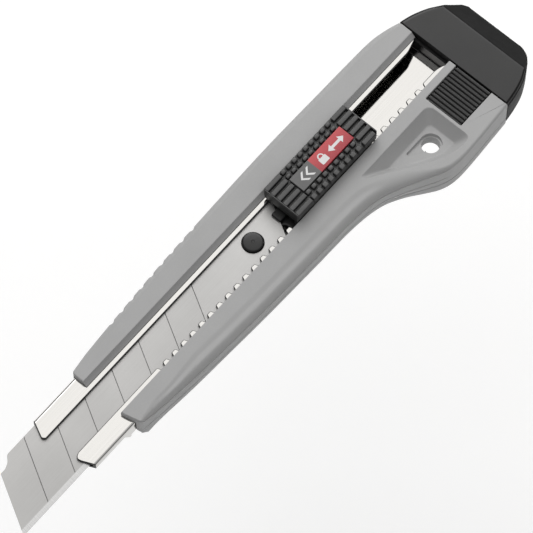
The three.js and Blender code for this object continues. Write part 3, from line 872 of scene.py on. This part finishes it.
def thumb_slider():
    """The ribbed thumb button with its field of square studs."""
    x0, x1 = button_low.x, button_high.x
    half = button_high.y
    top = button_high.z
    deck = top - 1.1
    low = button_low.z
    side = [(-5.75, low), (5.6, low), (5.6, 13.7), (half - 0.12, 14.1), (half - 0.12, deck - 0.45),
            (half - 0.45, deck), (-half + 0.45, deck), (-half + 0.12, deck - 0.45), (-half + 0.12, 14.1),
            (-5.75, 13.7)]
    body = along_x(side, x0, x1)
    corner = rounded_polygon([(x0, -half), (x1 - 0.7, -half), (x1, -half + 0.6), (x1, half), (x0, half)],
                             [0.6, 0.3, 0.3, 0.8, 0.7], 6)
    keep(body, prism(corner, 0, 30))
    walls = prism(corner, deck - 0.3, top - 0.12)
    cut(walls, block(x0 + 0.5, x1 - 0.5, -20, 20, 0, 30))
    round_edges(walls, lambda middle: 0.16 if middle.z > top - 0.2 else 0.0, 3, 40)
    cut(body, block(x0 + 1.3, x1 - 1.2, -4.9, 4.9, 11, deck - 0.75))
    round_edges(body, lambda middle: 0.12 if middle.z > deck - 0.6 else 0.0, 2, 40)
    rib = 1.5
    pitch = (2 * half - rib) / 5
    ribs = []
    for start, stop in ((x0 + 0.25, 20.2), (41.0, x1 - 0.25)):
        for i in range(6):
            y = -half + 0.02 + pitch * i
            corner_cut = 0.6 if i == 0 and stop > 30 else 0.0
            foot = deck - 1.4 if i in (0, 5) else deck - 0.4
            ribs.append((start, stop - corner_cut, y, y + rib - 0.04, foot, top))
    bumps = []
    for i in range(9):
        x = 21.3 + 2.25 * i
        for y0, y1 in ((-half, -half + 1.65), (-half + 2.15, -half + 3.5), (3.05, 4.2), (4.75, half)):
            foot = deck - 1.3 if abs(y0) > 4.6 and abs(y1) > 4.4 else deck - 0.4
            bumps.append((x - 0.84, x + 0.84, y0, y1, foot, top - 0.08))
    gather(body, walls, studs(ribs, 0.28), studs(bumps, 0.34))
    return finish_piece(body, "thumb_slider_ribbed", "thumb_button", "black_plastic", GRIP, "thumb_slider")


def slider_label():
    """A thin plate with rounded corners and a soft rim."""
    plate = block(label_low.x, label_high.x, label_low.y, label_high.y, label_low.z, label_high.z - 0.02)
    round_edges(plate, lambda middle: 0.16, 3)
    return finish_piece(plate, "slider_label_plate", "thumb_button", "label", LABEL, "slider_label")


def label_marks():
    """Generic signs in white ink: chevrons towards the blade, and a padlock with a slide arrow."""
    low, high = label_high.z - 0.15, label_high.z
    middle = (label_low.y + label_high.y) / 2
    marks = []
    arm, bar = 1.5, 0.75
    for tip in (22.4, 24.4):
        chevron = [(tip, middle), (tip + arm, middle - arm), (tip + arm + bar, middle - arm),
                   (tip + bar, middle), (tip + arm + bar, middle + arm), (tip + arm, middle + arm)]
        marks.append(prism(chevron, low, high))
    lock_x, half_lock = 30.9, 1.3
    body = [(lock_x - half_lock, middle - 1.6), (lock_x + half_lock, middle - 1.6),
            (lock_x + half_lock, middle + 0.3), (lock_x - half_lock, middle + 0.3)]
    marks.append(prism(rounded_polygon(body, 0.2, 3), low, high))
    outer, inner, foot, bend = 0.95, 0.58, middle + 0.2, (lock_x, middle + 0.55)
    shackle = [(lock_x + outer, foot)] + arc(bend, outer, 0, 180, 16) + [(lock_x - outer, foot)]
    shackle += [(lock_x - inner, foot)] + arc(bend, inner, 180, 0, 16) + [(lock_x + inner, foot)]
    marks.append(prism(shackle, low, high))
    arrow = [(33.4, middle), (34.9, middle - 1.2), (34.9, middle - 0.4), (37.9, middle - 0.4),
             (37.9, middle - 1.2), (39.4, middle), (37.9, middle + 1.2), (37.9, middle + 0.4),
             (34.9, middle + 0.4), (34.9, middle + 1.2)]
    marks.append(prism(arrow, low, high))
    signs = join(*marks)
    return finish_piece(signs, "label_marks", "thumb_button", "label", INK)


# ---- end cap -------------------------------------------------------------------------------------

def cap_outline():
    """Counter-clockwise outline of the cap; it runs on under the handle, where it is cut off."""
    past = cap_high.x
    lower = smooth_line([(REAR_X, -26), (80, -25.5), (84, -24.6), (87, -23.3), (89.6, -21.8)], 8)
    upper = smooth_line([(92.3, 3), (89.2, 4.9), (86.4, 7), (83.9, 8.7), (80, 10.5), (REAR_X, 11.6)], 4)
    outline = [(REAR_X - 6, -26.4)] + lower + [(92, -19.8), (past, -17), (past, 1.4)] + upper
    outline.append((REAR_X - 6, 13))
    soft = {(92, -19.8): 1.4, (past, -17): 1.4, (past, 1.4): 0.5, (92.3, 3): 0.4}
    return rounded_polygon(outline, [soft.get(point, 0) for point in outline], 6)


def end_cap():
    """The cap: chamfered rear, ledge along its lower side, hollow inside, and a duller copy of its black on
    all but the front face, as painted shade.
    """
    steps = 6

    def rounding(t):
        def rule(p):
            across, up = 1 - math.cos(t * math.pi / 2), math.sin(t * math.pi / 2)
            if lower_side(p):
                return 0.3 + 0.6 * across, FACE_Z - 0.6 * (1 - up)
            width = ramp(p[0], [(82, 1.3), (89, 0.9)])
            return width * across, FACE_Z - (0.5 + 0.3 * width) * (1 - up)
        return rule

    def ledge(inset, z):
        return lambda p: (inset if lower_side(p) else 0.0, z)

    def under(t):
        def rule(p):
            return 2.4 * (1 - math.sin(t * math.pi / 2)), 3.0 * (1 - math.cos(t * math.pi / 2))
        return rule

    layers = [under(i / steps) for i in range(steps + 1)]
    layers += [ledge(0.0, 11.2), ledge(0.12, 11.35), ledge(0.3, 11.4)]
    layers += [rounding(i / steps) for i in range(steps + 1)]
    cap = layered(cap_outline(), layers)
    ridge = [(86.45, FACE_Z + 0.09), (87.25, FACE_Z - 0.09), (87.75, FACE_Z - 0.36)]
    chamfer = ridge + [(cap_high.x + 0.6, 8.7), (cap_high.x + 0.6, 16), (86.45, 16)]
    ahead = block(REAR_X - 20, cap_low.x, -40, 40, -5, 30)
    hollow = block(REAR_X, 89, -20, 5, 2.6, 10.6)
    mouth = block(REAR_X, 78.6, -9.6, 9.6, 6, 10.6)
    cut(cap, ahead, along_y(chamfer, -40, 40), hollow, mouth)

    def width_at(middle):
        if middle.x < cap_low.x + 0.01:
            return 0.2
        on_back = middle.x > cap_high.x - 0.01 and middle.z > 8
        return 0.3 if on_back else 0.0

    round_edges(cap, width_at, 3, 20)
    finish_piece(cap, "end_cap_shell", "cap", "black_plastic", BLACK, "end_cap")
    # every face but the front takes the duller black: painted shade on the cap's sides
    return paint(cap, BLACK_SIDE_SHADE, lambda centre, normal: normal.z < 0.95)


def cap_latch():
    """The thumb latch: a plate with half-round ribs across it."""
    low, high = latch_low, latch_high
    count, steps = 10, 6
    pitch = (high.x - low.x - 0.3) / count
    valley, crest = high.z - 0.75, high.z
    profile = [(low.x, low.z), (high.x, low.z), (high.x, valley)]
    for i in reversed(range(count)):
        centre = low.x + 0.15 + pitch * (i + 0.5)
        for k in range(steps + 1):
            a = math.pi * k / steps
            profile.append((centre + 0.4 * math.cos(a), valley + (crest - valley) * math.sin(a)))
    profile.append((low.x, valley))
    plate = along_y(profile, low.y, high.y)
    cut(plate, block(low.x - 1, high.x + 1, -10.6, high.y + 1, low.z - 1, 12.35))

    def width_at(middle):
        at_end = min(middle.y - low.y, high.y - middle.y) < 0.02
        return 0.14 if at_end else 0.0

    round_edges(plate, width_at, 2, 40)
    return finish_piece(plate, "cap_latch_ribbed", "latch", "black_plastic", GRIP, "cap_latch")


# ---- pieces kept from the CAD model --------------------------------------------------------------

def dress_cad_nodes():
    """Inner pieces keep their CAD shape and take a finished material."""
    finishes = {
        "slider_base": BLACK, "cap_plug": BLACK,
        "rattle_spring": SPRING, "lock_spring": SPRING, "button_spring": SPRING,
        "slider_rivet_front": SPRING, "slider_rivet_rear": SPRING,
    }
    for node, material in finishes.items():
        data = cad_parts[node].data
        data.materials.clear()
        data.materials.append(material)


# ---- studio --------------------------------------------------------------------------------------

def studio_floor():
    """A pale sheet well below the knife, so that it stays bright behind it and through its hole."""
    half, z = 1200, -120
    floor = mesh_object([(-half, -half, z), (half, -half, z), (half, half, z), (-half, half, z)],
                        [(0, 1, 2, 3)], "studio_floor")
    floor.data.transform(Matrix.Scale(MM, 4))
    floor.data.materials.append(pale_floor())


def softbox(name, place, target, size, power, colour=(1.0, 1.0, 1.0)):
    """A rectangular soft lamp aimed at a target."""
    light = bpy.data.lights.new(name, "AREA")
    light.shape = "RECTANGLE"
    light.size, light.size_y = size
    light.energy = power
    light.color = colour
    lamp = bpy.data.objects.new(name, light)
    lamp.location = place
    lamp.rotation_euler = (Vector(target) - Vector(place)).to_track_quat("-Z", "Y").to_euler()
    scene.collection.objects.link(lamp)


def camera_axes():
    """Right, up and back directions of the camera, which looks down at the knife from its edge side."""
    tilt, turn = math.radians(23.0), math.radians(49.36)
    right = Vector((math.cos(turn), -math.sin(turn), 0))
    up = Vector((math.sin(turn) * math.cos(tilt), math.cos(turn) * math.cos(tilt), math.sin(tilt)))
    return right, up, right.cross(up)


def add_camera():
    """A long lens far off, aimed so that the knife fills the frame corner to corner."""
    right, up, back = camera_axes()
    distance, lens = 1.15, 297.3
    target = Vector((0, -7.1, blade_high.z)) * MM
    data = bpy.data.cameras.new("camera")
    data.sensor_width = 36
    data.lens = lens
    camera = bpy.data.objects.new("camera", data)
    axes = Matrix((right, up, back)).transposed().to_4x4()
    camera.matrix_world = Matrix.Translation(target + back * distance) @ axes
    scene.collection.objects.link(camera)
    scene.camera = camera


def add_sky():
    """A white room that is bright overhead and dim towards the horizon, so that glossy edges read."""
    world = bpy.data.worlds.new("studio")
    scene.world = world
    world.use_nodes = True
    tree = world.node_tree
    place = tree.nodes.new("ShaderNodeTexCoord")
    axes = tree.nodes.new("ShaderNodeSeparateXYZ")
    tree.links.new(place.outputs["Generated"], axes.inputs[0])
    ramp_node = tree.nodes.new("ShaderNodeMapRange")
    ramp_node.interpolation_type = "SMOOTHSTEP"
    for socket, value in (("From Min", 0.15), ("From Max", 0.8), ("To Min", 0.15), ("To Max", 0.66)):
        ramp_node.inputs[socket].default_value = value
    tree.links.new(axes.outputs["Z"], ramp_node.inputs["Value"])
    tree.links.new(ramp_node.outputs["Result"], tree.nodes["Background"].inputs["Strength"])
    tree.nodes["Background"].inputs["Color"].default_value = (1.0, 1.0, 1.0, 1.0)


def add_studio():
    """Floor, two soft lamps and the white room."""
    studio_floor()
    centre = Vector((0, 0, 0.01))
    softbox("key", centre + Vector((0.64, 0.62, 0.64)), centre, (1.0, 0.8), 6.0)
    softbox("overhead", centre + Vector((0.37, 0.32, 1.15)), centre, (1.3, 1.3), 3.6, (1.0, 0.985, 0.96))
    add_sky()
    scene.view_settings.view_transform = "Standard"


# ---- assembly ------------------------------------------------------------------------------------

add_camera()
add_studio()
front_frame()
back_cover()
for screw_place, screw_x in zip(("front", "middle", "rear"), SCREW_X):
    cover_screw(screw_place, screw_x)
blade_rail()
blade()
blade_peg()
blade_carriage()
thumb_slider()
slider_label()
label_marks()
end_cap()
cap_latch()
dress_cad_nodes()
